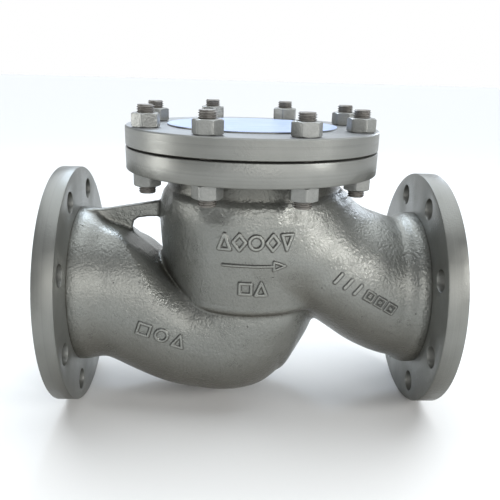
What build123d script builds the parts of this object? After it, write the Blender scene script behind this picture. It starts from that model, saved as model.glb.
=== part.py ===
from build123d import *
import math
import os

# Horizontal lift check valve, nominal bore 150 mm, flanged, cast steel.
# Frame: +X is the flow direction, +Z up, origin on the floor plane midway
# between the two pipe faces. The flow axis is AXIS above the floor, because
# the valve stands on the rims of its two pipe flanges.
# All heights in the tables below are measured from the flow axis.

os.makedirs("parts", exist_ok=True)

# ---------------------------------------------------------------- dimensions
AXIS = 150.0                 # flow axis above the floor = pipe flange radius

# pipe flanges (nominal 150, pressure class 25)
FACE_TO_FACE = 480.0
FLANGE_R = 150.0
FLANGE_T = 26.0              # with the raised face
RAISED_R = 109.0
RAISED_H = 2.0
PORT_R = 75.0
BOLT_PCD = 250.0
BOLT_N = 8
BOLT_R = 13.0
HUB_R = 99.0
HUB_LEN = 19.0

# cover joint
COVER_R = 153.0
SEAT_FLANGE_BOTTOM = 155.0   # underside of the body's top flange
SEAT_FLANGE_TOP = 181.0
COVER_BOTTOM = 183.0         # 2 mm open joint between the two flanges
COVER_TOP = 205.5
PAD_R = 103.0
PAD_H = 1.5
FILM_T = 0.5
STUD_PCD = 266.0
STUD_N = 8
STUD_R = 10.0                # M20
STUD_HOLE_R = 11.0
STUD_LOW = 130.5
STUD_HIGH = 230.5
NUT_AF = 30.0
NUT_H = 16.0
RECESS_R = 102.0             # female recess that holds the gasket
RECESS_Z = 175.0
SPIGOT_R = 101.5             # male face of the cover
SPIGOT_Z = 179.0
MOUTH_R = 88.0               # opening in the top of the body

# trim
SEAT_IN_R = 72.0
SEAT_OUT_R = 84.0
SEAT_LOW = -2.0
SEAT_FACE = 18.0
FLOOR = 8.0                  # floor of the upper chamber
DISC_R = 84.0
DISC_GAP = 0.05
LIFT = 38.0
STEM_R = 30.0
STEM_TOP = 132.0
BOSS_R = 48.0
BOSS_LOW = 92.0
SHOULDER = BOSS_LOW - LIFT - 0.05  # disc hub face that stops against the guide boss
BUSH_R = 37.0
BUSH_TOP = 152.0
GUIDE_TOP = 173.0
RUN = 0.06                   # radial running clearance of the stem
FIT = 0.03                   # radial assembly clearance of pressed pieces


def zz(h):
    """Height above the floor of a height above the flow axis."""
    return AXIS + h


def section(x, top, bottom, half):
    """Plane and radii of an upright elliptical section across the flow."""
    plane = Plane(
        origin=(x, 0, zz((top + bottom) / 2)), x_dir=(0, 1, 0), z_dir=(1, 0, 0)
    )
    return plane, half, (top - bottom) / 2


# x, crown, invert, half width of the casting's outer skin
INLET_SKIN = [
    (-216, 92, -92, 92),
    (-198, 92, -92.5, 92),
    (-182, 92, -95.5, 92),
    (-167, 92, -103, 92),
    (-153, 91.5, -110.5, 92),
    (-140, 90, -117.5, 92),
    (-122, 84, -126, 92.5),
    (-95, 63, -134.5, 93.5),
    (-70, 42, -138, 94),
    (-50, 25, -138.5, 94),
    (-24, 8, -136.5, 89),
    (0, -3, -130, 73),
    (20, -10, -116, 62),
    (38, -14, -90, 46),
]
# the inlet leg's roof, level from side to side, which drops from the hub to
# the chamber: x, height
ROOF = [
    (-218, 97),
    (-208, 94),
    (-195, 89.5),
    (-181, 84.5),
    (-167, 80),
    (-154, 74.5),
    (-145, 68),
    (-132, 58),
    (-123, 50),
    (-114, 40),
    (-103, 28),
    (-91, 18),
    (-80, 9),
    (-69, 0),
    (-58, -4),
]
OUTLET_SKIN = [
    (40, 110, -10, 88),
    (62, 116, -20, 97),
    (84, 120, -36, 100),
    (103, 120, -49.5, 100),
    (125, 114, -65, 98),
    (147, 105.5, -77, 96),
    (169, 98, -86, 94.5),
    (187, 93, -90.5, 93),
    (201, 92, -92, 92),
    (216, 92, -92, 92),
]
# height, half length along the flow, half width of the bowl's outer skin
BOWL_SKIN = [
    (-118, 20, 33),
    (-108, 35, 52),
    (-92, 52, 72),
    (-72, 68, 88),
    (-48, 81.5, 97),
    (-24, 90, 101),
    (-4, 95, 102.5),
]
# the same for the water passages
INLET_BORE = [
    (-222, 74, -74, 74),
    (-210, 74, -74, 74),
    (-192, 73, -77.5, 75.5),
    (-171, 67, -87, 79),
    (-150, 55, -98.5, 80),
    (-132, 38, -108, 80),
    (-115, 16, -115, 80),
    (-98, -5, -120.5, 80),
    (-78, -13, -124, 80),
    (-45, -14, -125, 80),
    (-15, -15, -121, 76),
    (14, -20, -94, 50),
]
OUTLET_BORE = [
    (46, 98, 20, 72),
    (66, 102, 14, 82),
    (82, 105, 2, 86),
    (94, 106, -18, 87),
    (106, 105, -35, 87),
    (125, 99.5, -51, 85.5),
    (147, 92, -63, 84),
    (169, 85, -71, 82),
    (187, 79.5, -75, 79),
    (199, 76.5, -75.5, 76),
    (210, 74, -74, 74),
    (222, 74, -74, 74),
]

# ---------------------------------------------------------------- inlet leg
with BuildPart() as inlet_leg:
    for s in INLET_SKIN:
        plane, rx, ry = section(*s)
        with BuildSketch(plane):
            Ellipse(rx, ry)
    loft()
    with BuildSketch(Plane.XZ.offset(-130)):
        with BuildLine():
            Spline(*[(x, zz(h)) for x, h in ROOF])
            Polyline(
                (ROOF[-1][0], zz(ROOF[-1][1])),
                (90, zz(-4)),
                (90, zz(-150)),
                (-218, zz(-150)),
                (ROOF[0][0], zz(ROOF[0][1])),
            )
        make_face()
    extrude(amount=260, mode=Mode.INTERSECT)

# ---------------------------------------------------------------- valve body
with BuildPart() as valve_body:
    # upper chamber, a barrel about the vertical axis
    with BuildSketch(Plane.XZ):
        with BuildLine():
            Polyline(
                (0, zz(-7)), (92, zz(-7)), (99, zz(-4.5)), (103.5, zz(2)), (104.6, zz(8))
            )
            Spline(
                (104.6, zz(8)),
                (108.5, zz(35)),
                (112, zz(62)),
                (113.4, zz(88)),
                (111, zz(117)),
                (105.8, zz(137)),
                (103.5, zz(156)),
            )
            Polyline((103.5, zz(156)), (0, zz(156)), (0, zz(-7)))
        make_face()
    revolve(axis=Axis.Z)
    # bowl under the seat, a little fuller across the flow than along it
    for h, rx, ry in BOWL_SKIN:
        with BuildSketch(Plane.XY.offset(zz(h))):
            Ellipse(rx, ry)
    loft()
    # inlet leg and outlet leg
    add(inlet_leg.part)
    for s in OUTLET_SKIN:
        plane, rx, ry = section(*s)
        with BuildSketch(plane):
            Ellipse(rx, ry)
    loft()
    # hubs and pipe flanges, turned about the flow axis
    for side in (-1, 1):
        back = FACE_TO_FACE / 2 - FLANGE_T
        rim = FACE_TO_FACE / 2 - RAISED_H
        with BuildSketch(Plane.XZ):
            with BuildLine():
                Polyline(
                    (side * (back - HUB_LEN - 2), zz(0)),
                    (side * (back - HUB_LEN - 2), zz(HUB_R - 14)),
                    (side * (back - HUB_LEN + 2), zz(HUB_R - 4)),
                    (side * (back - HUB_LEN + 6), zz(HUB_R)),
                    (side * back, zz(HUB_R)),
                    (side * back, zz(FLANGE_R - 1)),
                    (side * (back + 1), zz(FLANGE_R)),
                    (side * (rim - 1), zz(FLANGE_R)),
                    (side * rim, zz(FLANGE_R - 1)),
                    (side * rim, zz(RAISED_R)),
                    (side * FACE_TO_FACE / 2, zz(RAISED_R)),
                    (side * FACE_TO_FACE / 2, zz(0)),
                    close=True,
                )
            make_face()
        revolve(axis=Axis((0, 0, AXIS), (1, 0, 0)))
    # top flange for the cover
    with BuildSketch(Plane.XY.offset(zz(SEAT_FLANGE_BOTTOM))):
        Circle(COVER_R)
    extrude(amount=SEAT_FLANGE_TOP - SEAT_FLANGE_BOTTOM)
    # stiffening rib from the inlet hub to the chamber, with its window
    with BuildSketch(Plane.XZ.offset(-5)):
        with BuildLine():
            Polyline(
                (-213, zz(85)),
                (-208, zz(94.5)),
                (-113, zz(111.5)),
                (-100, zz(111.5)),
                (-100, zz(91)),
                (-130, zz(90.5)),
                (-142, zz(88.5)),
                (-147.5, zz(84)),
                (-149, zz(77)),
                (-147.5, zz(69)),
                (-142, zz(60)),
                (-170, zz(60)),
                (-213, zz(75)),
                close=True,
            )
        make_face()
    extrude(amount=10)

    # ---- hollow it out
    for s in INLET_BORE:
        plane, rx, ry = section(*s)
        with BuildSketch(plane):
            Ellipse(rx, ry)
    loft(mode=Mode.SUBTRACT)
    for s in OUTLET_BORE:
        plane, rx, ry = section(*s)
        with BuildSketch(plane):
            Ellipse(rx, ry)
    loft(mode=Mode.SUBTRACT)
    # throat below the seat
    with BuildSketch(Plane.XZ):
        with BuildLine():
            Polyline((0, zz(-108)), (0, zz(SEAT_LOW)), (SEAT_IN_R, zz(SEAT_LOW)), (SEAT_IN_R, zz(-22)))
            Spline(
                (SEAT_IN_R, zz(-22)),
                (68.5, zz(-42)),
                (52, zz(-70)),
                (32, zz(-92)),
                (0, zz(-108)),
            )
        make_face()
    revolve(axis=Axis.Z, mode=Mode.SUBTRACT)
    # seat pocket, upper chamber, mouth and gasket recess
    with BuildSketch(Plane.XZ):
        with BuildLine():
            Polyline(
                (0, zz(SEAT_LOW)),
                (SEAT_OUT_R + FIT, zz(SEAT_LOW)),
                (SEAT_OUT_R + FIT, zz(FLOOR)),
                (89, zz(FLOOR)),
                (95, zz(11)),
                (98, zz(20)),
                (100, zz(50)),
                (100.5, zz(90)),
                (98, zz(117)),
                (92, zz(136)),
                (MOUTH_R, zz(146)),
                (MOUTH_R, zz(RECESS_Z)),
                (RECESS_R, zz(RECESS_Z)),
                (RECESS_R, zz(SEAT_FLANGE_TOP + 1)),
                (0, zz(SEAT_FLANGE_TOP + 1)),
                close=True,
            )
        make_face()
    revolve(axis=Axis.Z, mode=Mode.SUBTRACT)
    # straight port bores
    for side in (-1, 1):
        with BuildSketch(Plane.YZ.offset(side * (FACE_TO_FACE / 2 - 30) - (side < 0) * 31)):
            with Locations((0, AXIS)):
                Circle(PORT_R)
        extrude(amount=31, mode=Mode.SUBTRACT)
    # bolt holes of the pipe flanges, straddling the centre lines
    for side in (-1, 1):
        with BuildSketch(Plane.YZ.offset(side * (FACE_TO_FACE / 2 - FLANGE_T / 2) - 20)):
            with Locations((0, AXIS)):
                with PolarLocations(BOLT_PCD / 2, BOLT_N, start_angle=22.5):
                    Circle(BOLT_R)
        extrude(amount=40, mode=Mode.SUBTRACT)
    # stud holes of the top flange, with spot faces for the lower nuts
    with BuildSketch(Plane.XY.offset(zz(SEAT_FLANGE_BOTTOM))):
        with PolarLocations(STUD_PCD / 2, STUD_N, start_angle=22.5):
            Circle(STUD_HOLE_R)
    extrude(amount=40, mode=Mode.SUBTRACT)
    with BuildSketch(Plane.XY.offset(zz(STUD_LOW - 3))):
        with PolarLocations(STUD_PCD / 2, STUD_N, start_angle=22.5):
            Circle(20)
    extrude(amount=SEAT_FLANGE_BOTTOM - STUD_LOW + 3, mode=Mode.SUBTRACT)
valve_body.part.label = "valve_body"

# ---------------------------------------------------------------- seat ring
with BuildPart() as seat_ring:
    with BuildSketch(Plane.XZ):
        with BuildLine():
            Polyline(
                (SEAT_IN_R, zz(SEAT_LOW)),
                (SEAT_OUT_R, zz(SEAT_LOW)),
                (SEAT_OUT_R, zz(SEAT_FACE - 1.5)),
                (SEAT_OUT_R - 1.5, zz(SEAT_FACE)),
                (SEAT_IN_R + 2, zz(SEAT_FACE)),
                (SEAT_IN_R, zz(SEAT_FACE - 3)),
                close=True,
            )
        make_face()
    revolve(axis=Axis.Z)
seat_ring.part.label = "seat_ring"

# ---------------------------------------------------------------- disc
RING_T = 4.0
FACE = SEAT_FACE + DISC_GAP
with BuildPart() as valve_disc:
    with BuildSketch(Plane.XZ):
        with BuildLine():
            Polyline(
                (0, zz(9)),
                (64, zz(9)),
                (68.5, zz(13)),
                (68.5, zz(FACE + RING_T)),
                (DISC_R, zz(FACE + RING_T)),
                (DISC_R, zz(34)),
                (DISC_R - 2, zz(36)),
                (58, zz(40)),
                (42, zz(SHOULDER - 3)),
                (39, zz(SHOULDER)),
                (STEM_R, zz(SHOULDER)),
                (STEM_R, zz(STEM_TOP - 3)),
                (STEM_R - 3, zz(STEM_TOP)),
                (17, zz(STEM_TOP)),
                (17, zz(66)),
                (0, zz(58)),
                close=True,
            )
        make_face()
    revolve(axis=Axis.Z)
    # relief holes from the hollow stem
    with BuildSketch(Plane.XZ.offset(-60)):
        with Locations((0, zz(72))):
            Circle(4)
    extrude(amount=120, mode=Mode.SUBTRACT)
valve_disc.part.label = "valve_disc"

with BuildPart() as disc_seal_ring:
    with BuildSketch(Plane.XY.offset(zz(FACE))):
        Circle(DISC_R)
        Circle(68.5 + FIT, mode=Mode.SUBTRACT)
    extrude(amount=RING_T)
disc_seal_ring.part.label = "disc_seal_ring"

# ---------------------------------------------------------------- cover
with BuildPart() as bonnet_cover:
    with BuildSketch(Plane.XZ):
        with BuildLine():
            Polyline(
                (0, zz(GUIDE_TOP)),
                (BUSH_R, zz(GUIDE_TOP)),
                (BUSH_R, zz(BOSS_LOW)),
                (BOSS_R - 2, zz(BOSS_LOW)),
                (BOSS_R, zz(BOSS_LOW + 2)),
                (BOSS_R + 2, zz(150)),
                (58, zz(162)),
                (72, zz(166)),
                (84, zz(166)),
                (MOUTH_R - 1, zz(169)),
                (MOUTH_R - 1, zz(SPIGOT_Z)),
                (SPIGOT_R, zz(SPIGOT_Z)),
                (SPIGOT_R, zz(COVER_BOTTOM)),
                (COVER_R - 0.8, zz(COVER_BOTTOM)),
                (COVER_R, zz(COVER_BOTTOM + 0.8)),
                (COVER_R, zz(COVER_TOP - 1.5)),
                (COVER_R - 1.5, zz(COVER_TOP)),
                (PAD_R, zz(COVER_TOP)),
                (PAD_R, zz(COVER_TOP + PAD_H)),
                (0, zz(COVER_TOP + PAD_H)),
                close=True,
            )
        make_face()
    revolve(axis=Axis.Z)
    with BuildSketch(Plane.XY.offset(zz(COVER_BOTTOM - 1))):
        with PolarLocations(STUD_PCD / 2, STUD_N, start_angle=22.5):
            Circle(STUD_HOLE_R)
    extrude(amount=COVER_TOP - COVER_BOTTOM + 2, mode=Mode.SUBTRACT)
    # two balance holes high in the guide bore and the set screw hole
    with BuildSketch(Plane.XZ.offset(-60)):
        with Locations((0, zz(158))):
            Circle(4)
    extrude(amount=120, mode=Mode.SUBTRACT)
    with BuildSketch(Plane.YZ):
        with Locations((0, zz(104))):
            Circle(3.0)
    extrude(amount=60, mode=Mode.SUBTRACT)
bonnet_cover.part.label = "bonnet_cover"

with BuildPart() as guide_bushing:
    with BuildSketch(Plane.XY.offset(zz(BOSS_LOW))):
        Circle(BUSH_R - FIT)
        Circle(STEM_R + RUN, mode=Mode.SUBTRACT)
    extrude(amount=BUSH_TOP - BOSS_LOW)
    chamfer(guide_bushing.edges().group_by(Axis.Z)[-1], 0.8)
    with BuildSketch(Plane.YZ.offset(BUSH_R - 2.5)):
        with Locations((0, zz(104))):
            Circle(3.0)
    extrude(amount=10, mode=Mode.SUBTRACT)
guide_bushing.part.label = "guide_bushing"

with BuildPart() as bushing_set_screw:
    with BuildSketch(Plane.YZ.offset(BUSH_R - 2.4)):
        with Locations((0, zz(104))):
            Circle(3.0 - FIT)
    extrude(amount=BOSS_R - BUSH_R + 1.9)
    with BuildSketch(Plane.YZ.offset(BOSS_R - 3.5)):
        with Locations((0, zz(104))):
            RegularPolygon(1.7, 6)
    extrude(amount=10, mode=Mode.SUBTRACT)
bushing_set_screw.part.label = "bushing_set_screw"

# ---------------------------------------------------------------- gasket
with BuildPart() as gasket_inner_ring:
    with BuildSketch(Plane.XY.offset(zz(RECESS_Z + 0.8))):
        Circle(92.0)
        Circle(MOUTH_R + 0.5, mode=Mode.SUBTRACT)
    extrude(amount=2.4)
gasket_inner_ring.part.label = "gasket_inner_ring"

with BuildPart() as gasket_winding:
    with BuildSketch(Plane.XY.offset(zz(RECESS_Z))):
        Circle(RECESS_R - 0.5)
        Circle(92.0 + FIT, mode=Mode.SUBTRACT)
    extrude(amount=SPIGOT_Z - RECESS_Z)
gasket_winding.part.label = "gasket_winding"

# ---------------------------------------------------------------- film
with BuildPart() as protective_film:
    with BuildSketch(Plane.XY.offset(zz(COVER_TOP + PAD_H))):
        Circle(PAD_R - 0.2)
    extrude(amount=FILM_T)
protective_film.part.label = "protective_film"

# ---------------------------------------------------------------- fasteners
# Each stud passes through both flanges and carries a nut at each end. The
# nuts' flats are turned a little differently on every stud, as they end up
# after tightening.
UPPER_TURN = [12, 47, 3, 28, 55, 20, 38, 9]
LOWER_TURN = [40, 8, 25, 52, 15, 33, 4, 48]
CONE = NUT_AF / 2 - 0.6
CONE_WIDE = CONE + NUT_H / math.tan(math.radians(30))

with BuildPart() as one_nut:
    with BuildSketch(Plane.XY):
        RegularPolygon(NUT_AF / 2, 6, major_radius=False)
    extrude(amount=NUT_H)
    # corner bevels, bottom and top
    Cone(CONE, CONE_WIDE, NUT_H, align=(Align.CENTER, Align.CENTER, Align.MIN), mode=Mode.INTERSECT)
    Cone(CONE_WIDE, CONE, NUT_H, align=(Align.CENTER, Align.CENTER, Align.MIN), mode=Mode.INTERSECT)
    with BuildSketch(Plane.XY.offset(-1)):
        Circle(STUD_R + 0.05)
    extrude(amount=NUT_H + 2, mode=Mode.SUBTRACT)


def stud_spots(height, turns):
    """One location for each stud of the cover joint."""
    spots = []
    for i in range(STUD_N):
        a = math.radians(22.5 + i * 360 / STUD_N)
        x, y = STUD_PCD / 2 * math.cos(a), STUD_PCD / 2 * math.sin(a)
        spots.append(Location((x, y, zz(height)), (0, 0, turns[i])))
    return spots


with BuildPart() as bonnet_studs:
    with BuildSketch(Plane.XY.offset(zz(STUD_LOW))):
        with PolarLocations(STUD_PCD / 2, STUD_N, start_angle=22.5):
            Circle(STUD_R)
    extrude(amount=STUD_HIGH - STUD_LOW)
    chamfer(bonnet_studs.edges().filter_by(GeomType.CIRCLE), 1.2)
bonnet_studs.part.label = "bonnet_studs"

with BuildPart() as upper_nuts:
    with Locations(*stud_spots(COVER_TOP, UPPER_TURN)):
        add(one_nut.part)
upper_nuts.part.label = "upper_nuts"

with BuildPart() as lower_nuts:
    with Locations(*stud_spots(SEAT_FLANGE_BOTTOM - NUT_H, LOWER_TURN)):
        add(one_nut.part)
lower_nuts.part.label = "lower_nuts"

# ---------------------------------------------------------------- files
for piece in (
    valve_body,
    seat_ring,
    valve_disc,
    disc_seal_ring,
    bonnet_cover,
    guide_bushing,
    bushing_set_screw,
    gasket_inner_ring,
    gasket_winding,
    protective_film,
    bonnet_studs,
    upper_nuts,
    lower_nuts,
):
    export_step(piece.part, f"parts/{piece.part.label}.step")
    print(
        piece.part.label,
        len(piece.part.solids()),
        round(piece.part.volume / 1000, 1),
        "cm3",
        piece.part.is_valid,
    )
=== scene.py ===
import bpy, bmesh, math
import numpy as np
from mathutils import Vector, Matrix


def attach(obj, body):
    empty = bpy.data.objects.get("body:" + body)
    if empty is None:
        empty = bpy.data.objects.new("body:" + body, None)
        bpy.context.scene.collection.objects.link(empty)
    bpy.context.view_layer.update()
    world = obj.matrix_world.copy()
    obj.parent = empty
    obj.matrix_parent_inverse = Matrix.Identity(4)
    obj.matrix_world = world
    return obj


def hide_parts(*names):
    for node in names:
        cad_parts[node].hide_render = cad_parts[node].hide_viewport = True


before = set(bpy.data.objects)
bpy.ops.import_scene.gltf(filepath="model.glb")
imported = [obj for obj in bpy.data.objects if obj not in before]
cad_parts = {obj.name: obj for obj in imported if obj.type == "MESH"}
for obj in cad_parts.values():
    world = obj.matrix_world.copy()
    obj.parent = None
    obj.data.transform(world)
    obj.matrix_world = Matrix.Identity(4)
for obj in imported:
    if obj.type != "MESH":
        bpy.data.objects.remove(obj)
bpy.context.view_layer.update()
STEP = 2.0      # cell of the casting's mesh, mm
AXIS = 150.0                      # height of the flow axis, mm
COL = bpy.context.scene.collection


# ------------------------------------------------------------------ curves
def spline(points, step=0.25):
    """A natural cubic through the points, as a fine table: value and slope."""
    p = np.array(points, float)
    xs, ys = p[:, 0], p[:, 1]
    n, h = len(xs), np.diff(xs)
    A, r = np.eye(n), np.zeros(n)
    for i in range(1, n - 1):
        A[i, i - 1 : i + 2] = h[i - 1], 2 * (h[i - 1] + h[i]), h[i]
        r[i] = 6 * ((ys[i + 1] - ys[i]) / h[i] - (ys[i] - ys[i - 1]) / h[i - 1])
    m = np.linalg.solve(A, r)
    x = np.arange(xs[0], xs[-1] + step, step)
    x[-1] = xs[-1]
    i = np.clip(np.searchsorted(xs, x) - 1, 0, n - 2)
    t, u = x - xs[i], xs[i + 1] - x
    y = (m[i] * u**3 + m[i + 1] * t**3) / (6 * h[i])
    y += (ys[i] / h[i] - m[i] * h[i] / 6) * u + (ys[i + 1] / h[i] - m[i + 1] * h[i] / 6) * t
    return x, y, np.gradient(y, x)


def lines(points, step=0.25):
    p = np.array(points, float)
    x = np.arange(p[0, 0], p[-1, 0] + step, step)
    y = np.interp(x, p[:, 0], p[:, 1])
    return x, y, np.gradient(y, x)


def at(table, x):
    return np.interp(x, table[0], table[1])


def slope(table, x):
    return np.interp(x, table[0], table[2])


def smin(a, b, k):
    h = np.clip(0.5 + 0.5 * (b - a) / k, 0, 1)
    return b * (1 - h) + a * h - k * h * (1 - h)


def smax(a, b, k):
    return -smin(-a, -b, k)


def step01(x, a, b):
    t = np.clip((x - a) / (b - a), 0, 1)
    return t * t * (3 - 2 * t)


# ------------------------------------------------------------------ casting
# x, crown, invert, half width (heights from the flow axis, mm)
INLET = [
    (-222, 92, -92, 92), (-198, 92, -92.3, 92), (-182, 92, -95.5, 92), (-167, 92, -102.5, 92),
    (-153, 91.5, -110.5, 92), (-140, 90, -117.5, 92), (-122, 84, -126, 92.5), (-95, 63, -134.5, 93.5),
    (-70, 42, -138, 94), (-50, 25, -138.5, 94), (-24, 8, -136.5, 90), (0, -3, -131, 78),
    (20, -10, -118, 64), (38, -14, -96, 46),
]
ROOF = [
    (-222, 98), (-208, 94), (-195, 89.5), (-181, 84.5), (-167, 80), (-154, 74.5), (-145, 68), (-132, 58),
    (-123, 50), (-114, 40), (-103, 28), (-91, 18), (-80, 9), (-69, 0), (-58, -4), (-30, -8),
]
OUTLET = [
    (30, 106, -6, 84), (46, 108, -12, 91), (62, 114, -20, 97), (84, 119, -36, 100), (103, 120, -49.5, 100),
    (125, 114, -65, 98), (147, 105.5, -77, 96), (169, 98, -86, 94.5), (187, 93, -90.5, 93),
    (201, 92, -92, 92), (222, 92, -92, 92),
]
BOWL = [
    (-126, 6, 12), (-118, 22, 33), (-108, 37, 52), (-92, 54, 71), (-72, 69, 86.5), (-48, 82, 95), (-24, 90, 98.6),
    (-12, 93, 98.2), (0, 94, 96.5), (12, 94, 95),
]
BUCKET = [
    (-12, 103.4), (8, 105), (35, 108.8), (62, 112), (88, 113.6), (106, 113), (118, 111.6), (125, 109.2), (129, 106.2),
    (132, 103.8), (136, 103), (146, 103), (156, 103),
]
INLET_BORE = [
    (-222, 75, -75, 75), (-210, 74.6, -75, 75), (-192, 73, -77.5, 75.5), (-171, 67, -87, 79), (-150, 55, -98.5, 80),
    (-132, 38, -108, 80), (-115, 16, -115, 80), (-98, -5, -120.5, 80), (-78, -13, -124, 80),
    (-45, -14, -125, 80), (-15, -15, -121, 74), (14, -20, -94, 50),
]
OUTLET_BORE = [
    (46, 98, 20, 72), (66, 102, 14, 82), (82, 105, 2, 86), (94, 106, -18, 87), (106, 105, -35, 87),
    (125, 99.5, -51, 85.5), (147, 92, -63, 84), (169, 85, -71, 82), (187, 79.5, -75, 79),
    (199, 76.5, -75.5, 76), (210, 75, -75, 75), (222, 75, -75, 75),
]
CHAMBER = [(-4, 84.03), (7.8, 84.03), (8.2, 89), (11, 95), (20, 98), (50, 100), (90, 100.5), (117, 98), (136, 92), (146, 88), (170, 88)]
THROAT = [(-125, -14), (-108, 0), (-100, 18), (-92, 31), (-82, 43), (-70, 54), (-56, 62.5), (-42, 68.5), (-30, 71.5), (-22, 72), (2, 72)]


def tube_tables(rows):
    a = np.array(rows, float)
    c, b = (a[:, 1] + a[:, 2]) / 2, (a[:, 1] - a[:, 2]) / 2
    return spline(np.c_[a[:, 0], c]), spline(np.c_[a[:, 0], b]), spline(np.c_[a[:, 0], a[:, 3]])


T_IN, T_OUT, T_INB, T_OUTB = map(tube_tables, (INLET, OUTLET, INLET_BORE, OUTLET_BORE))
T_ROOF, T_BUCKET, T_CHAMBER, T_THROAT = spline(ROOF), lines(BUCKET), lines(CHAMBER), lines(THROAT)
T_BOWLX = spline([(z, a) for z, a, b in BOWL])
T_BOWLY = spline([(z, b) for z, a, b in BOWL])


def oval(u, v, c, a, b, dc=0, da=0, db=0):
    """Distance to an upright oval (half width a on u, half height b on v) that changes along the third axis."""
    w = v - c
    q = np.sqrt((u / a) ** 2 + (w / b) ** 2) + 1e-9
    nu, nv = u / a**2 / q, w / b**2 / q
    g = np.sqrt(nu**2 + nv**2) + 1e-9
    s = da * u / (a * q) * nu / g + (dc + db * w / (b * q)) * nv / g
    return (q - 1) / g / np.sqrt(1 + s * s)


def tube(tables, x, y, z):
    tc, tb, ta = tables
    return oval(y, z, at(tc, x), at(ta, x), at(tb, x), slope(tc, x), slope(ta, x), slope(tb, x))


RIB = np.array([(-214, 84), (-208, 94.5), (-164, 103), (-113, 111.5), (-98, 111.5), (-98, 60), (-142, 58), (-172, 60), (-214, 74)], float)
WINDOW = np.array([(-90, 91), (-112, 91), (-130, 90.3), (-142, 88.5), (-147.5, 84), (-149, 77), (-147.5, 69), (-142, 60), (-128, 40), (-90, 40)], float)


def polygon(P, x, z):
    d = np.full(np.shape(x), 1e9)
    inside = np.zeros(np.shape(x), bool)
    for (x0, z0), (x1, z1) in zip(P, np.roll(P, -1, 0)):
        ex, ez = x1 - x0, z1 - z0
        t = np.clip(((x - x0) * ex + (z - z0) * ez) / (ex * ex + ez * ez), 0, 1)
        d = np.minimum(d, (x - x0 - t * ex) ** 2 + (z - z0 - t * ez) ** 2)
        if z0 != z1:
            inside ^= ((z0 > z) != (z1 > z)) & (x < ex * (z - z0) / ez + x0)
    return np.where(inside, -1, 1) * np.sqrt(d)


def rib(x, y, z):
    out = np.full(np.shape(x), 60.0)
    near = (x < -84) & (x > -220) & (np.abs(y) < 26) & (z > 30)
    xs, ys, zs = x[near], y[near], z[near]
    flat = smax(polygon(RIB, xs, zs), -polygon(WINDOW, xs, zs), 5)
    out[near] = smax(flat, np.abs(ys) - 5.2, 3)
    return out


def skin(x, y, z):
    """Outside of the casting, without its three machined flanges."""
    rho = np.hypot(x, y)
    flare = np.clip((z - 152) / 3, 0, 1)
    R = at(T_BUCKET, z) + 3 * (1 - np.sqrt(1 - flare**2))
    bucket = (rho - R) / np.sqrt(1 + slope(T_BUCKET, z) ** 2)
    # flutes that clear the lower nuts
    turn = (np.arctan2(y, x) + math.pi) % (math.pi / 4) - math.pi / 8
    flute = np.hypot(rho * np.cos(turn) - 133, rho * np.sin(turn)) - 23.5
    flute = smax(flute, 112 - z, 14)
    bucket = smax(bucket, -flute, 8)
    bucket = smax(bucket, -5.5 - z, 10)
    bowl = oval(x, y, 0, at(T_BOWLX, z), at(T_BOWLY, z), 0, slope(T_BOWLX, z), slope(T_BOWLY, z))
    bowl = smax(smax(bowl, -119 - z, 12), z - 2, 5)
    inlet = tube(T_IN, x, y, z)
    fall = np.interp(x, [-192, -166, -150, -122, -108], [0, 0.21, 0.27, 0.14, 0.04])
    roof = z - at(T_ROOF, x) + fall * np.maximum(y + 4, 0)
    roof = roof / np.sqrt(1 + slope(T_ROOF, x) ** 2)
    inlet = smax(inlet, roof, 5 + 26 * step01(x, -150, -112))
    inlet = smax(inlet, x - 38, 10)
    outlet = smax(tube(T_OUT, x, y, z), 30 - x, 4)
    low = smin(bowl, inlet, 34)
    # the bucket stands on the bowl with a soft crease all round
    d = smin(bucket, low, 2.2 + 13 * step01(z, 22, 40))
    k = 8 + 34 * step01(z, 4, 75)
    d = smin(d, outlet, k)
    d = smin(d, rib(x, y, z), 5)
    # hubs behind the pipe flanges, with a fillet against them
    ax, rr = np.abs(x), np.hypot(y, z)
    left = x < 0
    bulge = np.where(left, 96.4, 99.4) - (ax - 207) ** 2 * np.where(left, 0.004, 0.012)
    hub = smax(rr - bulge, np.where(left, 190, 189) - ax, np.where(left, 26, 19))
    d = smin(d, hub, np.where(left, 18, 9))
    return d


def field(x, y, z):
    d = skin(x, y, z)
    rho = np.hypot(x, y)
    wet = smax(tube(T_INB, x, y, z), x - 14, 8)
    throat = smax(rho - at(T_THROAT, z), z - 0.5, 0.5)
    wet = smin(wet, throat, 8)
    room = (rho - at(T_CHAMBER, z)) / np.sqrt(1 + np.minimum(slope(T_CHAMBER, z) ** 2, 4))
    room = smax(room, -2 - z, 0.5)
    out = smax(tube(T_OUTB, x, y, z), 46 - x, 6)
    room = smin(room, out, 10)
    # the floor beside the seat stays flat and closed
    wet = np.minimum(wet, room)
    d = smax(d, -wet, 1.5)
    d = smax(d, z - 157, 0.5)
    return smax(d, np.abs(x) - 216, 0.5)


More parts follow.
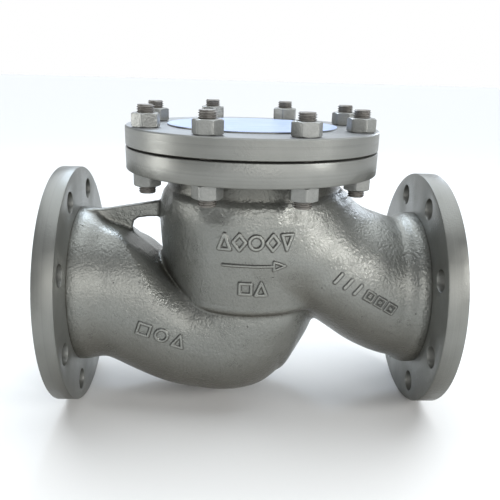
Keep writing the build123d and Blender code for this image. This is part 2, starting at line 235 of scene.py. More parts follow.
def grid_mesh(f, lo, hi, h):
    """Closed quad mesh of f = 0 by surface nets, then drawn onto the surface."""
    ax = [np.arange(a, b + h, h) for a, b in zip(lo, hi)]
    n = [len(a) for a in ax]
    F = np.empty(n, np.float32)
    Y, Z = np.meshgrid(ax[1], ax[2], indexing="ij")
    for i in range(0, n[0], 12):
        xs = ax[0][i : i + 12]
        X = np.broadcast_to(xs[:, None, None], (len(xs), *Y.shape))
        F[i : i + 12] = f(X, np.broadcast_to(Y, X.shape), np.broadcast_to(Z, X.shape))
    S = F < 0
    corner = [(a, b, c) for a in (0, 1) for b in (0, 1) for c in (0, 1)]
    cut = lambda A, o: A[o[0] : n[0] - 1 + o[0], o[1] : n[1] - 1 + o[1], o[2] : n[2] - 1 + o[2]]
    count = sum(cut(S, o).astype(np.int8) for o in corner)
    cells = np.argwhere((count > 0) & (count < 8))
    vid = np.full([k - 1 for k in n], -1, np.int64)
    vid[tuple(cells.T)] = np.arange(len(cells))
    pos, tot = np.zeros((len(cells), 3)), np.zeros(len(cells))
    for a in corner:
        for b in corner:
            if sum(abs(p - q) for p, q in zip(a, b)) != 1 or a > b:
                continue
            fa, fb = F[tuple((cells + a).T)], F[tuple((cells + b).T)]
            hit = (fa < 0) != (fb < 0)
            t = (fa[hit] / (fa[hit] - fb[hit]))[:, None]
            pos[hit] += np.array(a) + t * (np.array(b) - np.array(a))
            tot[hit] += 1
    V = np.array(lo) + (cells + pos / tot[:, None]) * h
    quads = []
    for axis in range(3):
        sl0, sl1 = [slice(1, -1)] * 3, [slice(1, -1)] * 3
        sl0[axis], sl1[axis] = slice(0, -1), slice(1, None)
        A, B = S[tuple(sl0)], S[tuple(sl1)]
        e = np.argwhere(A != B)
        inward = A[tuple(e.T)]
        e = e + [0 if k == axis else 1 for k in range(3)]
        u, v = [k for k in range(3) if k != axis]
        du, dv = np.eye(3, dtype=int)[u], np.eye(3, dtype=int)[v]
        q = np.stack([vid[tuple((e - du - dv).T)], vid[tuple((e - dv).T)], vid[tuple(e.T)], vid[tuple((e - du).T)]], 1)
        flip = inward if axis != 1 else ~inward
        q[~flip] = q[~flip][:, ::-1]
        quads.append(q)
    Q = np.concatenate(quads)
    for _ in range(4):
        g = normal(f, V)
        V = V - np.clip(f(*V.T), -0.5 * h, 0.5 * h)[:, None] * g
    return V, Q


def normal(f, V, e=0.05):
    g = np.stack([f(*(V + e * a).T) - f(*(V - e * a).T) for a in np.eye(3)], 1)
    return g / (np.linalg.norm(g, axis=1)[:, None] + 1e-12)


def mesh_object(name, V, faces, sharp=None):
    """V in mm in the valve frame, heights from the flow axis."""
    me = bpy.data.meshes.new(name)
    W = (np.asarray(V, float) + [0, 0, AXIS]) / 1000
    if isinstance(faces, np.ndarray):
        k = faces.shape[1]
        me.vertices.add(len(W)); me.vertices.foreach_set("co", W.ravel())
        me.loops.add(faces.size); me.loops.foreach_set("vertex_index", faces.ravel())
        me.polygons.add(len(faces)); me.polygons.foreach_set("loop_start", np.arange(0, faces.size, k))
    else:
        me.from_pydata(W.tolist(), [], faces)
    me.update(calc_edges=True); me.validate()
    me.shade_smooth()
    if sharp is not None:
        me.set_sharp_from_angle(angle=math.radians(sharp))
    o = bpy.data.objects.new(name, me)
    COL.objects.link(o)
    return o


V, Q = grid_mesh(field, (-219, -121, -142), (219, 121, 161), STEP)
casting = mesh_object("casting", V, Q)
# how deep in a crevice each point lies: dirt that gathers there and painted shade in the creases
N = normal(skin, V, 0.4)
here = skin(*V.T)
dirt_and_shade = np.clip(1.0 - (skin(*(V + 6.0 * N).T) - here) / 6.0, 0, 1)
dirt_and_shade = np.where(here > -1.0, dirt_and_shade, 0)
# painted shade in the corner where each hub meets the back of its pipe flange
edge = np.clip((np.abs(V[:, 0]) - 209.5) / 4.5, 0, 1) * (here > -1.0)
dirt_and_shade = np.maximum(dirt_and_shade, 0.75 * edge**2)
# painted shade on the neck under the cover flange, where the flange casts its shadow
shade_below = np.clip((V[:, 2] - 124) / 10, 0, 1) * (here > -1.0) * (np.hypot(V[:, 0], V[:, 1]) < 112)
dirt_and_shade = np.maximum(dirt_and_shade, 0.55 * shade_below)
attr = casting.data.attributes.new("crevice_dirt_and_shade", "FLOAT", "POINT")
attr.data.foreach_set("value", dirt_and_shade.astype(np.float32))


# ------------------------------------------------------------------ turned discs
def disc_mesh(name, rings, axis, spots, hole, bevel, low, high, n=256):
    """A turned disc with through holes. rings: closed profile (radius, place along the axis), in order, where the
    pieces between (low) and (high) are the two faces that carry the holes. axis is x or z."""
    bm = bmesh.new()

    def P(r, a, t):
        return (t, r * math.cos(a), r * math.sin(a)) if axis == "x" else (r * math.cos(a), r * math.sin(a), t)

    angles = [2 * math.pi * i / n for i in range(n)]
    loops = [[bm.verts.new(P(r, a, t)) for a in angles] for r, t in rings]

    def strip(A, B):
        m = len(A)
        for i in range(m):
            bm.faces.new((A[i], A[(i + 1) % m], B[(i + 1) % m], B[i]))

    m = 48
    holes = {}
    for (inner, outer, t, lift) in (low, high):
        # the holes' mouths in this face, each with a small bevel
        mouths = []
        for a0, pr in spots:
            cx, cy = pr * math.cos(a0), pr * math.sin(a0)
            ring = []
            for rr, tt in ((hole + bevel, t), (hole + bevel * 0.3, t + lift * bevel * 0.3), (hole, t + lift * bevel)):
                row = []
                for i in range(m):
                    a = 2 * math.pi * i / m
                    u, v = cx + rr * math.cos(a), cy + rr * math.sin(a)
                    row.append(bm.verts.new((tt, u, v) if axis == "x" else (u, v, tt)))
                ring.append(row)
            strip(ring[0], ring[1]); strip(ring[1], ring[2])
            mouths.append(ring)
        holes[t] = mouths
    for top, bottom in zip(holes[low[2]], holes[high[2]]):
        strip(top[2], bottom[2])
    count = len(rings)
    for i in range(count):
        j = (i + 1) % count
        face = next((f for f in (low, high) if {i, j} == {f[0], f[1]}), None)
        if face is None:
            strip(loops[i], loops[j])
            continue
        verts = loops[i] + loops[j] + [v for ring in holes[face[2]] for v in ring[0]]
        edges = []
        start = 0
        for group in [loops[i], loops[j]] + [ring[0] for ring in holes[face[2]]]:
            edges += [(start + k, start + (k + 1) % len(group)) for k in range(len(group))]
            start += len(group)
        from mathutils.geometry import delaunay_2d_cdt
        flat = [Vector((v.co.y, v.co.z)) if axis == "x" else Vector((v.co.x, v.co.y)) for v in verts]
        vo, eo, fo, ov, oe, of_ = delaunay_2d_cdt(flat, edges, [], 0, 1e-7)
        place = [ov[k][0] for k in range(len(vo))]
        small, big = sorted((rings[i][0], rings[j][0]))
        for tri in fo:
            c = sum((vo[k] for k in tri), Vector((0, 0))) / len(tri)
            if not small < c.length < big:
                continue
            if any((c - Vector((pr * math.cos(a0), pr * math.sin(a0)))).length < hole + bevel for a0, pr in spots):
                continue
            bm.faces.new([verts[place[k]] for k in tri])
    bmesh.ops.recalc_face_normals(bm, faces=bm.faces[:])
    for v in bm.verts:
        v.co = (v.co + Vector((0, 0, AXIS))) / 1000
    me = bpy.data.meshes.new(name)
    bm.to_mesh(me); bm.free()
    me.shade_smooth()
    me.set_sharp_from_angle(angle=math.radians(35))
    o = bpy.data.objects.new(name, me)
    COL.objects.link(o)
    return o


EIGHT = [math.radians(22.5 + 45 * k) for k in range(8)]


def pipe_flange(name, s):
    x = lambda t: s * t
    rings = [
        (75, x(214)), (97, x(214)), (148.6, x(214)), (149.5, x(214.35)), (150, x(215.3)),
        (150, x(236.7)), (149.6, x(237.6)), (148.7, x(238)), (109.6, x(238)), (109, x(238.4)),
        (109, x(239.5)), (108.5, x(240)), (76.2, x(240)), (75, x(239)), (75, x(225)),
    ]
    return disc_mesh(name, rings, "x", [(a, 125) for a in EIGHT], 13, 1.0, (1, 2, x(214), s), (7, 8, x(238), -s))


inlet_flange = pipe_flange("inlet_flange", -1)
outlet_flange = pipe_flange("outlet_flange", 1)
cover_flange = disc_mesh(
    "cover_flange",
    [(88, 155), (100, 155), (151.6, 155), (152.6, 155.4), (153, 156.4), (153, 179.8), (152.7, 180.6), (152, 181),
     (102.8, 181), (102, 180.2), (102, 175), (88, 175)],
    "z", [(a, 133) for a in EIGHT], 11, 0.6, (1, 2, 155, 1), (7, 8, 181, -1),
)


# ------------------------------------------------------------------ fasteners
TURN_UP = [12, 47, 3, 28, 55, 20, 38, 9]
TURN_LOW = [40, 8, 25, 52, 15, 33, 4, 48]


def loops_mesh(rings, wrap=True):
    """Quads between rings of equal length; the list of rings closes on itself if wrap is set."""
    k, m = len(rings), len(rings[0])
    V = np.concatenate(rings)
    faces = []
    for j in range(k if wrap else k - 1):
        a = np.arange(m) + j * m
        b = np.arange(m) + ((j + 1) % k) * m
        faces.append(np.stack([a, np.roll(a, -1), np.roll(b, -1), b], 1))
    return V, np.concatenate(faces)


def nut(turn, z0, centre, n=144):
    a = 2 * np.pi * np.arange(n) / n
    fold = (a + np.pi / 6) % (np.pi / 3) - np.pi / 6
    hexr = 15 / np.cos(fold)
    hexr = smin(hexr, 16.95, 0.9)                # corners a little rounded
    H, flat = 16.0, 14.3
    ring = lambda r, z: np.stack([np.broadcast_to(r, a.shape) * np.cos(a), np.broadcast_to(r, a.shape) * np.sin(a), np.broadcast_to(z, a.shape)], 1)
    drop = np.maximum(hexr - flat, 0) * math.tan(math.radians(28))
    soft = 0.22
    rows = [
        ring(11.2, 0), ring(flat, 0),
        ring(hexr - soft, drop * 0.98), ring(hexr, drop + soft),
        ring(hexr, H - drop - soft), ring(hexr - soft, H - drop * 0.98),
        ring(flat + 0.1, H - 0.12), ring(flat - 0.3, H), ring(11.3, H), ring(10.05, H - 1.25),
        ring(10.05, H * 0.5), ring(10.05, 1.2),
    ]
    V, Q = loops_mesh(rows)
    c, s = math.cos(math.radians(turn)), math.sin(math.radians(turn))
    V = np.stack([V[:, 0] * c - V[:, 1] * s + centre[0], V[:, 0] * s + V[:, 1] * c + centre[1], V[:, 2] + z0], 1)
    return V, Q[:, ::-1]


def stud(z0, z1, centre, phase, n=48):
    p = 2.5
    a = 2 * np.pi * np.arange(n) / n
    zs = np.concatenate([np.arange(z0, z0 + 27, p / 8), np.arange(z1 - 28, z1, p / 8), [z1]])
    rows = []
    for z in zs:
        t = (z / p - a / (2 * np.pi) + phase) % 1
        r = 9.98 - 1.45 * np.clip((1 - np.abs(2 * t - 1) * 1.0) * 1.5 - 0.25, 0, 1)
        end = min(z - z0, z1 - z)
        r = np.minimum(r, 8.4 + 1.1 * end)
        if z0 + 26.8 < z < z1 - 27.7:
            r = np.full(n, 9.0)
        rows.append(np.stack([r * np.cos(a), r * np.sin(a), np.full(n, z)], 1))
    first, last = rows[0], rows[-1]
    def inner(row, k, dz):
        q = row.copy(); q[:, :2] *= k; q[:, 2] += dz
        return q
    rows = [inner(first, 0.05, -0.0), inner(first, 0.55, 0.0)] + rows + [inner(last, 0.55, 0.0), inner(last, 0.05, 0.0)]
    V, Q = loops_mesh(rows, wrap=False)
    m = n
    caps = [np.arange(m)[::-1], np.arange(m) + (len(rows) - 1) * m]
    V = V + [centre[0], centre[1], 0]
    return V, Q, caps


def gather(name, parts, sharp):
    V, faces, base = [], [], 0
    for v, q, *caps in parts:
        V.append(v)
        faces += (q + base).tolist()
        for c in (caps[0] if caps else []):
            faces.append((c + base).tolist())
        base += len(v)
    return mesh_object(name, np.concatenate(V), faces, sharp)


spot = [(133 * math.cos(a), 133 * math.sin(a)) for a in EIGHT]
upper = gather("cover_nuts", [nut(TURN_UP[k], 205.5, spot[k]) for k in range(8)], 22)
lower = gather("cover_nuts_low", [nut(TURN_LOW[k], 139, spot[k]) for k in range(8)], 22)
studs = gather("threaded_studs", [stud(130.5, 230.5, spot[k], 0.13 * k) for k in range(8)], 60)


# ------------------------------------------------------------------ raised marks
def stroke(points, width, closed=True):
    P = np.array(points, float)
    ends = list(zip(P, np.roll(P, -1, 0))) if closed else list(zip(P[:-1], P[1:]))

    def f(u, v):
        d = np.full(u.shape, 1e9)
        for (x0, y0), (x1, y1) in ends:
            ex, ey = x1 - x0, y1 - y0
            t = np.clip(((u - x0) * ex + (v - y0) * ey) / (ex * ex + ey * ey), 0, 1)
            d = np.minimum(d, np.hypot(u - x0 - t * ex, v - y0 - t * ey))
        return d - width / 2
    return f


def ring_mark(cx, cy, r, width):
    return lambda u, v: np.abs(np.hypot(u - cx, v - cy) - r) - width / 2


def tile(cx, cy, half, width):
    return stroke([(cx - half, cy - half), (cx + half, cy - half), (cx + half, cy + half), (cx - half, cy + half)], width)


def union(*fs):
    return lambda u, v: np.minimum.reduce([f(u, v) for f in fs])


def relief(name, shape, size, origin, along, height, cell=0.55):
    """Raised marks on the casting's front. origin: middle of the mark (x, height), along: its slope in degrees."""
    cell = cell * 1
    nu, nv = int(size[0] / cell) + 1, int(size[1] / cell) + 1
    u = np.linspace(-size[0] / 2, size[0] / 2, nu)
    v = np.linspace(-size[1] / 2, size[1] / 2, nv)
    U, W = np.meshgrid(u, v, indexing="ij")
    c, s = math.cos(math.radians(along)), math.sin(math.radians(along))
    X = origin[0] + U * c - W * s
    Z = origin[1] + U * s + W * c
    Y = np.full(X.shape, -119.0)
    for _ in range(60):
        Y = Y + 0.85 * skin(X, Y, Z)
    P = np.stack([X, Y, Z], -1).reshape(-1, 3)
    N = normal(skin, P, 0.4).reshape(*X.shape, 3)
    P = P.reshape(*X.shape, 3)
    d = shape(U, W)
    t = np.clip(0.62 - d / 1.3, 0, 1)
    top = 0.07 + height * t * t * (3 - 2 * t)
    keep = d < 2.0
    cellkeep = keep[:-1, :-1] & keep[1:, :-1] & keep[:-1, 1:] & keep[1:, 1:]
    used = np.zeros(keep.shape, bool)
    for a in (0, 1):
        for b in (0, 1):
            used[a : nu - 1 + a, b : nv - 1 + b] |= cellkeep
    ids = np.full(keep.shape, -1)
    ids[used] = np.arange(used.sum())
    front = P[used] + N[used] * top[used][:, None]
    back = P[used] - N[used] * 1.4
    i, j = np.nonzero(cellkeep)
    q = np.stack([ids[i, j], ids[i + 1, j], ids[i + 1, j + 1], ids[i, j + 1]], 1)
    total = used.sum()
    # painted shade round the foot of each stroke and painted highlight on its crown
    foot_shade = np.clip(1 - np.abs(d[used] - 0.55) / 1.1, 0, 1)
    crown_highlight = np.clip((-d[used] - 0.2) / 1.0, 0, 1)
    quads = [q, q[:, ::-1] + total]
    pad = np.pad(cellkeep, 1)
    for di, dj, a, b in ((-1, 0, (0, 1), (0, 0)), (1, 0, (1, 0), (1, 1)), (0, -1, (0, 0), (1, 0)), (0, 1, (1, 1), (0, 1))):
        edge = cellkeep & ~pad[1 + di : 1 + di + nu - 1, 1 + dj : 1 + dj + nv - 1]
        i, j = np.nonzero(edge)
        A, B = ids[i + a[0], j + a[1]], ids[i + b[0], j + b[1]]
        quads.append(np.stack([A, A + total, B + total, B], 1)[:, ::-1])
    o = mesh_object(name, np.concatenate([front, back]), np.concatenate(quads), 80)
    for key, values in (("foot_shade", foot_shade), ("crown_highlight", crown_highlight)):
        a = o.data.attributes.new(key, "FLOAT", "POINT")
        a.data.foreach_set("value", np.concatenate([values, np.zeros(total)]).astype(np.float32))
    return o


SW = 3.3
row1 = union(
    stroke([(-40, -8.5), (-27, -8.5), (-33.5, 8.5)], SW),
    stroke([(-17, -9), (-10, 0), (-17, 9), (-24, 0)], SW),
    ring_mark(1.5, 0, 7.4, SW),
    stroke([(20, -9), (27, 0), (20, 9), (13, 0)], SW),
    stroke([(30, 8.5), (42, 8.5), (36, -8.5)], SW),
)
arrow = union(
    stroke([(-35, 0), (22, 0)], 2.7, False),
    stroke([(22, 5), (35, 0), (22, -5)], 2.4),
)
row2 = union(tile(-8.5, 0, 6.6, SW), stroke([(3, -8), (15.5, -8), (9.2, 8)], SW))
row3 = union(
    stroke([(-29, -7), (-15, -7), (-15, 7), (-29, 7)], 3.0),
    ring_mark(0, 0, 7.2, 3.0),
    stroke([(15, -7.5), (28, -7.5), (21.5, 7.5)], 3.0),
)
bars = [stroke([(c - 1.2, -6), (c + 1.2, 6)], 4.0, False) for c in (-41, -27, -13)]
tiles = [tile(c, 0, 5.3, 2.0) for c in (4, 19.5, 35)]
dots = [tile(c, 0, 1.3, 1.6) for c in (4, 19.5, 35)]
row4 = union(*bars, *tiles, *dots)
marks = [
    relief("cast_mark_row", row1, (92, 26), (1.5, 88.5), 0, 2.3),
    relief("cast_arrow", arrow, (82, 18), (1.6, 61), 0, 2.1),
    relief("cast_mark_pair", row2, (42, 26), (1, 32.7), 0, 2.3),
    relief("cast_mark_inlet", row3, (68, 26), (-105.5, -33), -18.5, 2.0),
    relief("cast_tiles_outlet", row4, (96, 24), (135.5, 23), -30.5, 1.7),
]

# ------------------------------------------------------------------ riding
for o in [casting, inlet_flange, outlet_flange, cover_flange, *marks, upper, lower, studs]:
    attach(o, "body")
for o in [casting, inlet_flange, outlet_flange, cover_flange, *marks]:
    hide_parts("valve_body")
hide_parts("upper_nuts")
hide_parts("lower_nuts")
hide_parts("bonnet_studs")


# ------------------------------------------------------------------ materials
def material(name):
    m = bpy.data.materials.new(name)
    m.use_nodes = True
    t = m.node_tree
    return m, t, t.nodes["Principled BSDF"]


def node(t, kind, **values):
    n = t.nodes.new(kind)
    for k, v in values.items():
        if k in n.inputs.keys():
            n.inputs[k].default_value = v
        else:
            setattr(n, k, v)
    return n


def link(t, a, b):
    t.links.new(a, b)


def noise(t, coord, scale, detail=3.0, rough=0.55, stretch=None):
    if stretch is not None:
        mp = node(t, "ShaderNodeMapping")
        mp.inputs["Scale"].default_value = stretch
        link(t, coord, mp.inputs["Vector"])
        coord = mp.outputs["Vector"]
    n = node(t, "ShaderNodeTexNoise")
    n.inputs["Scale"].default_value = scale
    n.inputs["Detail"].default_value = detail
    n.inputs["Roughness"].default_value = rough
    link(t, coord, n.inputs["Vector"])
    return n.outputs["Fac"]


def ramp(t, fac, stops):
    n = node(t, "ShaderNodeValToRGB")
    e = n.color_ramp.elements
    while len(e) < len(stops):
        e.new(0.5)
    for el, (p, c) in zip(e, stops):
        el.position = p
        el.color = (*c, 1) if len(c) == 3 else c
    link(t, fac, n.inputs["Fac"])
    return n.outputs["Color"]


def grey(v):
    return (v, v, v)


def mix(t, a, b, fac, kind="MIX"):
    n = node(t, "ShaderNodeMix", data_type="RGBA", blend_type=kind)
    for s, v in ((n.inputs[0], fac), (n.inputs[6], a), (n.inputs[7], b)):
        if isinstance(v, (int, float)):
            s.default_value = v
        elif isinstance(v, tuple):
            s.default_value = (*v, 1)
        else:
            link(t, v, s)
    return n.outputs[2]


def math_node(t, op, a, b=None, clamp=False):
    n = node(t, "ShaderNodeMath", operation=op)
    n.use_clamp = clamp
    for s, v in zip(n.inputs, (a, b)):
        if v is None:
            continue
        if isinstance(v, (int, float)):
            s.default_value = v
        else:
            link(t, v, s)
    return n.outputs[0]


def bump(t, height, strength, distance, after=None):
    n = node(t, "ShaderNodeBump")
    n.inputs["Strength"].default_value = strength
    n.inputs["Distance"].default_value = distance
    link(t, height, n.inputs["Height"])
    if after is not None:
        link(t, after, n.inputs["Normal"])
    return n.outputs["Normal"]


def paint(name, base, metal=0.65, rough=0.31, rough_cast=1.0, marks=False, cast=False):
    """Aluminium paint over a sand casting: orange peel, grains, soft waves, dull patches."""
    m, t, b = material(name)
    co = node(t, "ShaderNodeTexCoord").outputs["Object"]
    big = noise(t, co, 9, 3, 0.5)
    mid = noise(t, co, 55, 4, 0.6)
    fine = noise(t, co, 420, 3, 0.6)
    grain = noise(t, co, 1300, 2, 0.6)
    dark = tuple(c * 0.93 for c in base)
    light = tuple(min(1, c * 1.05) for c in base)
    c1 = ramp(t, big, [(0.32, dark), (0.52, base), (0.70, light)])
    c2 = ramp(t, mid, [(0.30, grey(0.93)), (0.5, grey(1.0)), (0.75, (1.02, 1.02, 1.03))])
    col = mix(t, c1, c2, 1.0, "MULTIPLY")
    c3 = ramp(t, fine, [(0.36, grey(0.88)), (0.52, grey(1.0)), (0.72, grey(1.05))])
    col = mix(t, col, c3, 0.8, "MULTIPLY")
    if marks:
        # painted shade at the foot of the raised marks and painted highlight on their crowns
        foot_shade = node(t, "ShaderNodeAttribute", attribute_name="foot_shade").outputs["Fac"]
        crown_highlight = node(t, "ShaderNodeAttribute", attribute_name="crown_highlight").outputs["Fac"]
        col = mix(t, col, tuple(c * 0.30 for c in base), math_node(t, "MULTIPLY", foot_shade, 0.75))
        col = mix(t, col, tuple(c * 1.35 for c in base), math_node(t, "MULTIPLY", crown_highlight, 0.5))
    if cast:
        # a few blow holes and chips
        vor = node(t, "ShaderNodeTexVoronoi")
        vor.inputs["Scale"].default_value = 48
        vor.inputs["Randomness"].default_value = 1.0
        link(t, co, vor.inputs["Vector"])
        pit = ramp(t, vor.outputs["Distance"], [(0.026, grey(0.0)), (0.060, grey(1.0))])
        col = mix(t, tuple(c * 0.45 for c in base), col, pit)
        # dirt in the crevices and painted shade: darker in creases, at the seam against the pipe flanges and under the
        # cover flange
        cav = node(t, "ShaderNodeAttribute", attribute_name="crevice_dirt_and_shade").outputs["Fac"]
        dirt_and_shade_tint = ramp(t, math_node(t, "ADD", cav, math_node(t, "MULTIPLY", math_node(t, "SUBTRACT", mid, 0.5), 0.25)), [(0.12, grey(1.0)), (0.75, (0.42, 0.40, 0.37))])
        col = mix(t, col, dirt_and_shade_tint, 1.0, "MULTIPLY")
    if cast or marks:
        # painted shade: the surfaces that face down are painted darker and browner
        nz = node(t, "ShaderNodeSeparateXYZ")
        link(t, node(t, "ShaderNodeNewGeometry").outputs["Normal"], nz.inputs[0])
        shade_below = ramp(t, math_node(t, "ADD", math_node(t, "MULTIPLY", nz.outputs[2], 0.5), 0.5), [(0.08, (0.66, 0.60, 0.53)), (0.48, grey(1.0))])
        col = mix(t, col, shade_below, 1.0, "MULTIPLY")
    link(t, col, b.inputs["Base Color"])
    b.inputs["Metallic"].default_value = metal
    r = ramp(t, mix(t, mid, grain, 0.45), [(0.3, grey(rough - 0.07)), (0.5, grey(rough)), (0.75, grey(rough + 0.12))])
    link(t, r, b.inputs["Roughness"])
    n1 = bump(t, noise(t, co, 70, 3, 0.5), 0.35 * rough_cast, 0.0016)
    patch = ramp(t, noise(t, co, 16, 2, 0.5), [(0.38, grey(0.35)), (0.62, grey(1.0))])
    lumps = math_node(t, "MULTIPLY", noise(t, co, 300, 2, 0.5), patch)
    n2 = bump(t, fine, 0.80 * rough_cast, 0.0006, bump(t, lumps, 0.85 * rough_cast, 0.0011, n1))
    n3 = bump(t, grain, 0.35 * rough_cast, 0.0002, n2)
    if cast:
        n3 = bump(t, pit, 0.8, 0.0006, n3)
    link(t, n3, b.inputs["Normal"])
    return m


def turned(name, base, axis, metal=0.6, rough=0.36, centre=(0, 0, 0.15), depth=1.0, top=None, sparkle_and_shade_below=0.0):
    """Painted or bare metal over lathe marks round the given axis."""
    m, t, b = material(name)
    co = node(t, "ShaderNodeTexCoord").outputs["Object"]
    sub = node(t, "ShaderNodeVectorMath", operation="SUBTRACT")
    sub.inputs[1].default_value = centre
    link(t, co, sub.inputs[0])
    s = node(t, "ShaderNodeSeparateXYZ")
    link(t, sub.outputs[0], s.inputs[0])
    X, Y, Z = s.outputs
    a, u, v = (X, Y, Z) if axis == "x" else (Z, X, Y)
    r = math_node(t, "SQRT", math_node(t, "ADD", math_node(t, "MULTIPLY", u, u), math_node(t, "MULTIPLY", v, v)))
    lathe = node(t, "ShaderNodeCombineXYZ")
    link(t, a, lathe.inputs[0]); link(t, r, lathe.inputs[1])
    wob = noise(t, co, 14, 2, 0.5)
    link(t, math_node(t, "MULTIPLY", wob, 0.0012), lathe.inputs[2])
    l1 = noise(t, lathe.outputs[0], 900, 4, 0.65)
    l2 = noise(t, lathe.outputs[0], 2600, 2, 0.6)
    mid = noise(t, co, 40, 4, 0.6)
    big = noise(t, co, 10, 3, 0.5)
    c = ramp(t, l1, [(0.3, tuple(x * 0.90 for x in base)), (0.5, base), (0.7, tuple(min(1, x * 1.06) for x in base))])
    c = mix(t, c, ramp(t, mid, [(0.3, grey(0.92)), (0.55, grey(1.0)), (0.8, grey(1.03))]), 0.9, "MULTIPLY")
    c = mix(t, c, ramp(t, big, [(0.35, (0.90, 0.89, 0.87)), (0.6, grey(1.0))]), 0.8, "MULTIPLY")
    if sparkle_and_shade_below:
        # painted shade: the surfaces that face down are painted darker and browner
        nd = node(t, "ShaderNodeSeparateXYZ")
        link(t, node(t, "ShaderNodeNewGeometry").outputs["Normal"], nd.inputs[0])
        c = mix(t, c, ramp(t, math_node(t, "ADD", math_node(t, "MULTIPLY", nd.outputs[2], 0.5), 0.5), [(0.06, (0.40, 0.37, 0.32)), (0.47, grey(1.0))]), 1.0, "MULTIPLY")
    if top:
        # painted sheen: the faced top is painted lighter and bluer than the rim, standing in for the light it reflects
        nz = node(t, "ShaderNodeSeparateXYZ")
        link(t, node(t, "ShaderNodeNewGeometry").outputs["Normal"], nz.inputs[0])
        c = mix(t, c, ramp(t, l1, [(0.3, tuple(x * 0.93 for x in top)), (0.6, top)]), ramp(t, nz.outputs[2], [(0.80, grey(0)), (0.95, grey(1))]))
    link(t, c, b.inputs["Base Color"])
    b.inputs["Metallic"].default_value = metal
    link(t, ramp(t, mix(t, l1, mid, 0.5), [(0.3, grey(rough - 0.08)), (0.7, grey(rough + 0.14))]), b.inputs["Roughness"])
    n1 = bump(t, l1, 0.35 * depth, 0.0003)
    n2 = bump(t, l2, 0.25 * depth, 0.0001, n1)
    n3 = bump(t, noise(t, co, 500, 3, 0.6), 0.18, 0.0002, n2)
    if sparkle_and_shade_below:
        patch = ramp(t, noise(t, co, 13, 2, 0.5), [(0.46, grey(0.0)), (0.64, grey(1.0))])
        lumps = math_node(t, "MULTIPLY", noise(t, co, 380, 2, 0.55), patch)
        n3 = bump(t, lumps, 0.9 * sparkle_and_shade_below, 0.0008, n3)
    link(t, n3, b.inputs["Normal"])
    return m


def steel(name, base, metal=0.9, rough=0.34, grime=(0.1, 0.09, 0.08), amount=0.5):
    m, t, b = material(name)
    co = node(t, "ShaderNodeTexCoord").outputs["Object"]
    mid = noise(t, co, 160, 4, 0.65)
    fine = noise(t, co, 1500, 3, 0.6)
    c = ramp(t, fine, [(0.3, tuple(x * 0.82 for x in base)), (0.5, base), (0.75, tuple(min(1, x * 1.12) for x in base))])
    spots = ramp(t, mid, [(0.52, grey(0.0)), (0.66, grey(amount))])
    c = mix(t, c, grime, spots)
    link(t, c, b.inputs["Base Color"])
    b.inputs["Metallic"].default_value = metal
    link(t, ramp(t, mid, [(0.3, grey(rough - 0.06)), (0.7, grey(rough + 0.2))]), b.inputs["Roughness"])
    link(t, bump(t, fine, 0.3, 0.0001, bump(t, mid, 0.2, 0.0003)), b.inputs["Normal"])
    return m


BODY = paint("casting_paint", (0.200, 0.205, 0.190), cast=True)
MARKS = paint("cast_mark_paint", (0.200, 0.205, 0.190), marks=True)
FLANGE = turned("flange_paint", (0.190, 0.194, 0.182), "x", metal=0.6, rough=0.36, sparkle_and_shade_below=0.6)
RIM = turned("cover_flange_paint", (0.200, 0.204, 0.192), "z", metal=0.6, rough=0.34, sparkle_and_shade_below=1.0)
# the cover's top face carries a painted sheen
COVER = turned("cover_paint_finish", (0.195, 0.199, 0.187), "z", metal=0.6, rough=0.36, sparkle_and_shade_below=0.5, top=(0.25, 0.26, 0.265))
NUTS = paint("nut_paint_finish", (0.225, 0.229, 0.217), metal=0.5, rough=0.36, rough_cast=0.5)
STUDS = steel("stud_finish", (0.20, 0.19, 0.175), metal=0.7, rough=0.42, amount=0.6)
TRIM = turned("trim_finish", (0.56, 0.55, 0.53), "z", metal=0.95, rough=0.24)
HARD = turned("hard_face_finish", (0.68, 0.67, 0.64), "z", metal=1.0, rough=0.14, depth=0.4)
BUSH = turned("bush_finish", (0.50, 0.47, 0.42), "z", metal=0.95, rough=0.30)
SCREW = steel("screw_finish", (0.12, 0.12, 0.125), metal=0.8, rough=0.4)
GASKET = turned("gasket_finish", (0.10, 0.10, 0.105), "z", metal=0.35, rough=0.55, depth=1.6)


def film():
    m, t, b = material("film_finish")
    co = node(t, "ShaderNodeTexCoord").outputs["Object"]
    big = noise(t, co, 12, 3, 0.5)
    fold = noise(t, co, 38, 2, 0.5, (1, 3.5, 1))
    c = ramp(t, big, [(0.30, (0.37, 0.47, 0.71)), (0.5, (0.40, 0.50, 0.73)), (0.72, (0.46, 0.55, 0.75))])
    link(t, c, b.inputs["Base Color"])
    link(t, ramp(t, fold, [(0.3, grey(0.30)), (0.7, grey(0.44))]), b.inputs["Roughness"])
    b.inputs["Specular IOR Level"].default_value = 0.3
    link(t, bump(t, fold, 0.12, 0.002, bump(t, noise(t, co, 160, 2, 0.5), 0.05, 0.0005)), b.inputs["Normal"])
    return m


FILM = film()


def finish(o, m):
    o.data.materials.clear()
    o.data.materials.append(m)


finish(casting, BODY)
for o in marks:
    finish(o, MARKS)
finish(inlet_flange, FLANGE)
finish(outlet_flange, FLANGE)
finish(cover_flange, RIM)
finish(upper, NUTS)
finish(lower, NUTS)
finish(studs, STUDS)
for n, m in {
    "seat_ring": HARD, "valve_disc": TRIM, "disc_seal_ring": HARD, "bonnet_cover": COVER, "guide_bushing": BUSH,
    "bushing_set_screw": SCREW, "gasket_inner_ring": TRIM, "gasket_winding": GASKET, "protective_film": FILM,
}.items():
    finish(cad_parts[n], m)

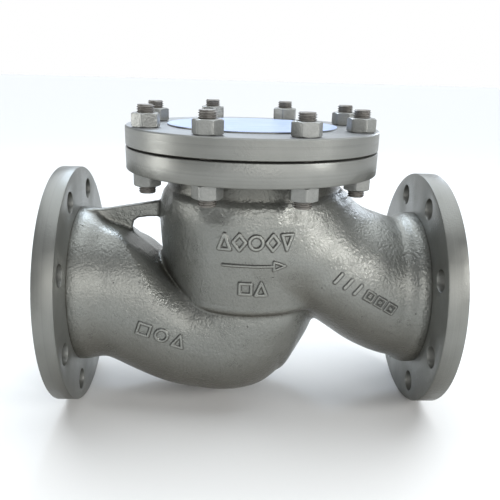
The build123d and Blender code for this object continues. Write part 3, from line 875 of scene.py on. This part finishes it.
# ------------------------------------------------------------------ camera
C = (-0.03289, -0.75038, 0.26553 + 0.150)
yaw, pitch, roll = (math.radians(a) for a in (-2.62, 17.92, -1.62))
fwd = Vector((-math.sin(yaw) * math.cos(pitch), math.cos(yaw) * math.cos(pitch), -math.sin(pitch)))
r0 = Vector((math.cos(yaw), math.sin(yaw), 0)); d0 = fwd.cross(r0)
right = r0 * math.cos(roll) + d0 * math.sin(roll)
up = r0 * math.sin(roll) - d0 * math.cos(roll)
cam = bpy.data.cameras.new("camera")
co = bpy.data.objects.new("camera", cam)
COL.objects.link(co)
co.matrix_world = Matrix(((right.x, up.x, -fwd.x, C[0]), (right.y, up.y, -fwd.y, C[1]), (right.z, up.z, -fwd.z, C[2]), (0, 0, 0, 1)))
cam.sensor_width = 36
cam.lens = 599.52 / 500 * 36
cam.shift_y = (268.04 - 250) / 500
cam.shift_x = (250 - 249.51) / 500
bpy.context.scene.camera = co

# ------------------------------------------------------------------ floor and light
me = bpy.data.meshes.new("floor")
me.from_pydata([(-40, -40, 0), (40, -40, 0), (40, 40, 0), (-40, 40, 0)], [], [(0, 1, 2, 3)])
floor = bpy.data.objects.new("floor", me)
COL.objects.link(floor)
m, t, b = material("floor_finish")
b.inputs["Base Color"].default_value = (0.77, 0.77, 0.76, 1)
b.inputs["Roughness"].default_value = 0.9
b.inputs["Specular IOR Level"].default_value = 0.1
me.materials.append(m)

w = bpy.data.worlds.new("studio")
bpy.context.scene.world = w
w.use_nodes = True
wt = w.node_tree
wc = wt.nodes.new("ShaderNodeTexCoord")
ws = wt.nodes.new("ShaderNodeSeparateXYZ")
wr = wt.nodes.new("ShaderNodeValToRGB")
wt.links.new(wc.outputs["Generated"], ws.inputs[0])
wt.links.new(ws.outputs[2], wr.inputs["Fac"])
wr.color_ramp.interpolation = "EASE"
wr.color_ramp.elements[0].position = 0.08
wr.color_ramp.elements[0].color = (1.0, 1.0, 1.0, 1)
wr.color_ramp.elements[1].position = 0.30
wr.color_ramp.elements[1].color = (0.34, 0.36, 0.40, 1)
wf = wt.nodes.new("ShaderNodeMapRange")
wf.inputs["From Min"].default_value = 0.15
wf.inputs["From Max"].default_value = 0.55
wf.inputs["To Min"].default_value = 0.42
wf.inputs["To Max"].default_value = 1.0
wt.links.new(ws.outputs[1], wf.inputs["Value"])
wt.links.new(wf.outputs[0], wt.nodes["Background"].inputs[1])
wt.links.new(wr.outputs["Color"], wt.nodes["Background"].inputs[0])
# the backdrop itself is plain white
plain = wt.nodes.new("ShaderNodeBackground")
plain.inputs[0].default_value = (1, 1, 1, 1)
both = wt.nodes.new("ShaderNodeMixShader")
wt.links.new(wt.nodes.new("ShaderNodeLightPath").outputs["Is Camera Ray"], both.inputs[0])
wt.links.new(wt.nodes["Background"].outputs[0], both.inputs[1])
wt.links.new(plain.outputs[0], both.inputs[2])
wt.links.new(both.outputs[0], wt.nodes["World Output"].inputs[0])


def area(name, place, size, energy, colour=(1, 1, 1), aim=(0, 0, 0.16)):
    l = bpy.data.lights.new(name, "AREA")
    l.shape = "RECTANGLE"
    l.size, l.size_y = size
    l.energy = energy
    l.color = colour
    o = bpy.data.objects.new(name, l)
    COL.objects.link(o)
    o.location = place
    o.rotation_euler = (Vector(aim) - o.location).to_track_quat("-Z", "Y").to_euler()


sun = bpy.data.lights.new("top_soft", "SUN")
sun.energy = 3.7
sun.angle = math.radians(84)
sun.color = (0.93, 0.97, 1.0)
so = bpy.data.objects.new("top_soft", sun)
COL.objects.link(so)
so.rotation_euler = Vector((-0.10, -0.42, -1.0)).to_track_quat("-Z", "Y").to_euler()
area("front", (0.45, -2.6, 1.1), (2.9, 1.5), 41, (1.0, 0.99, 0.97))
area("right", (1.75, -1.1, 0.85), (0.32, 0.6), 18, (1.0, 0.99, 0.97))
area("back_right", (1.4, 1.8, 0.85), (0.6, 0.4), 7, (0.78, 0.87, 1.0))
area("back", (-0.3, 1.6, 1.7), (0.4, 0.25), 11, (0.70, 0.83, 1.0))
area("inlet_side", (-1.8, -0.15, 0.35), (0.5, 0.5), 9, (1.0, 1.0, 0.98), (-0.2, 0, 0.15))

bpy.context.scene.view_settings.view_transform = "Standard"
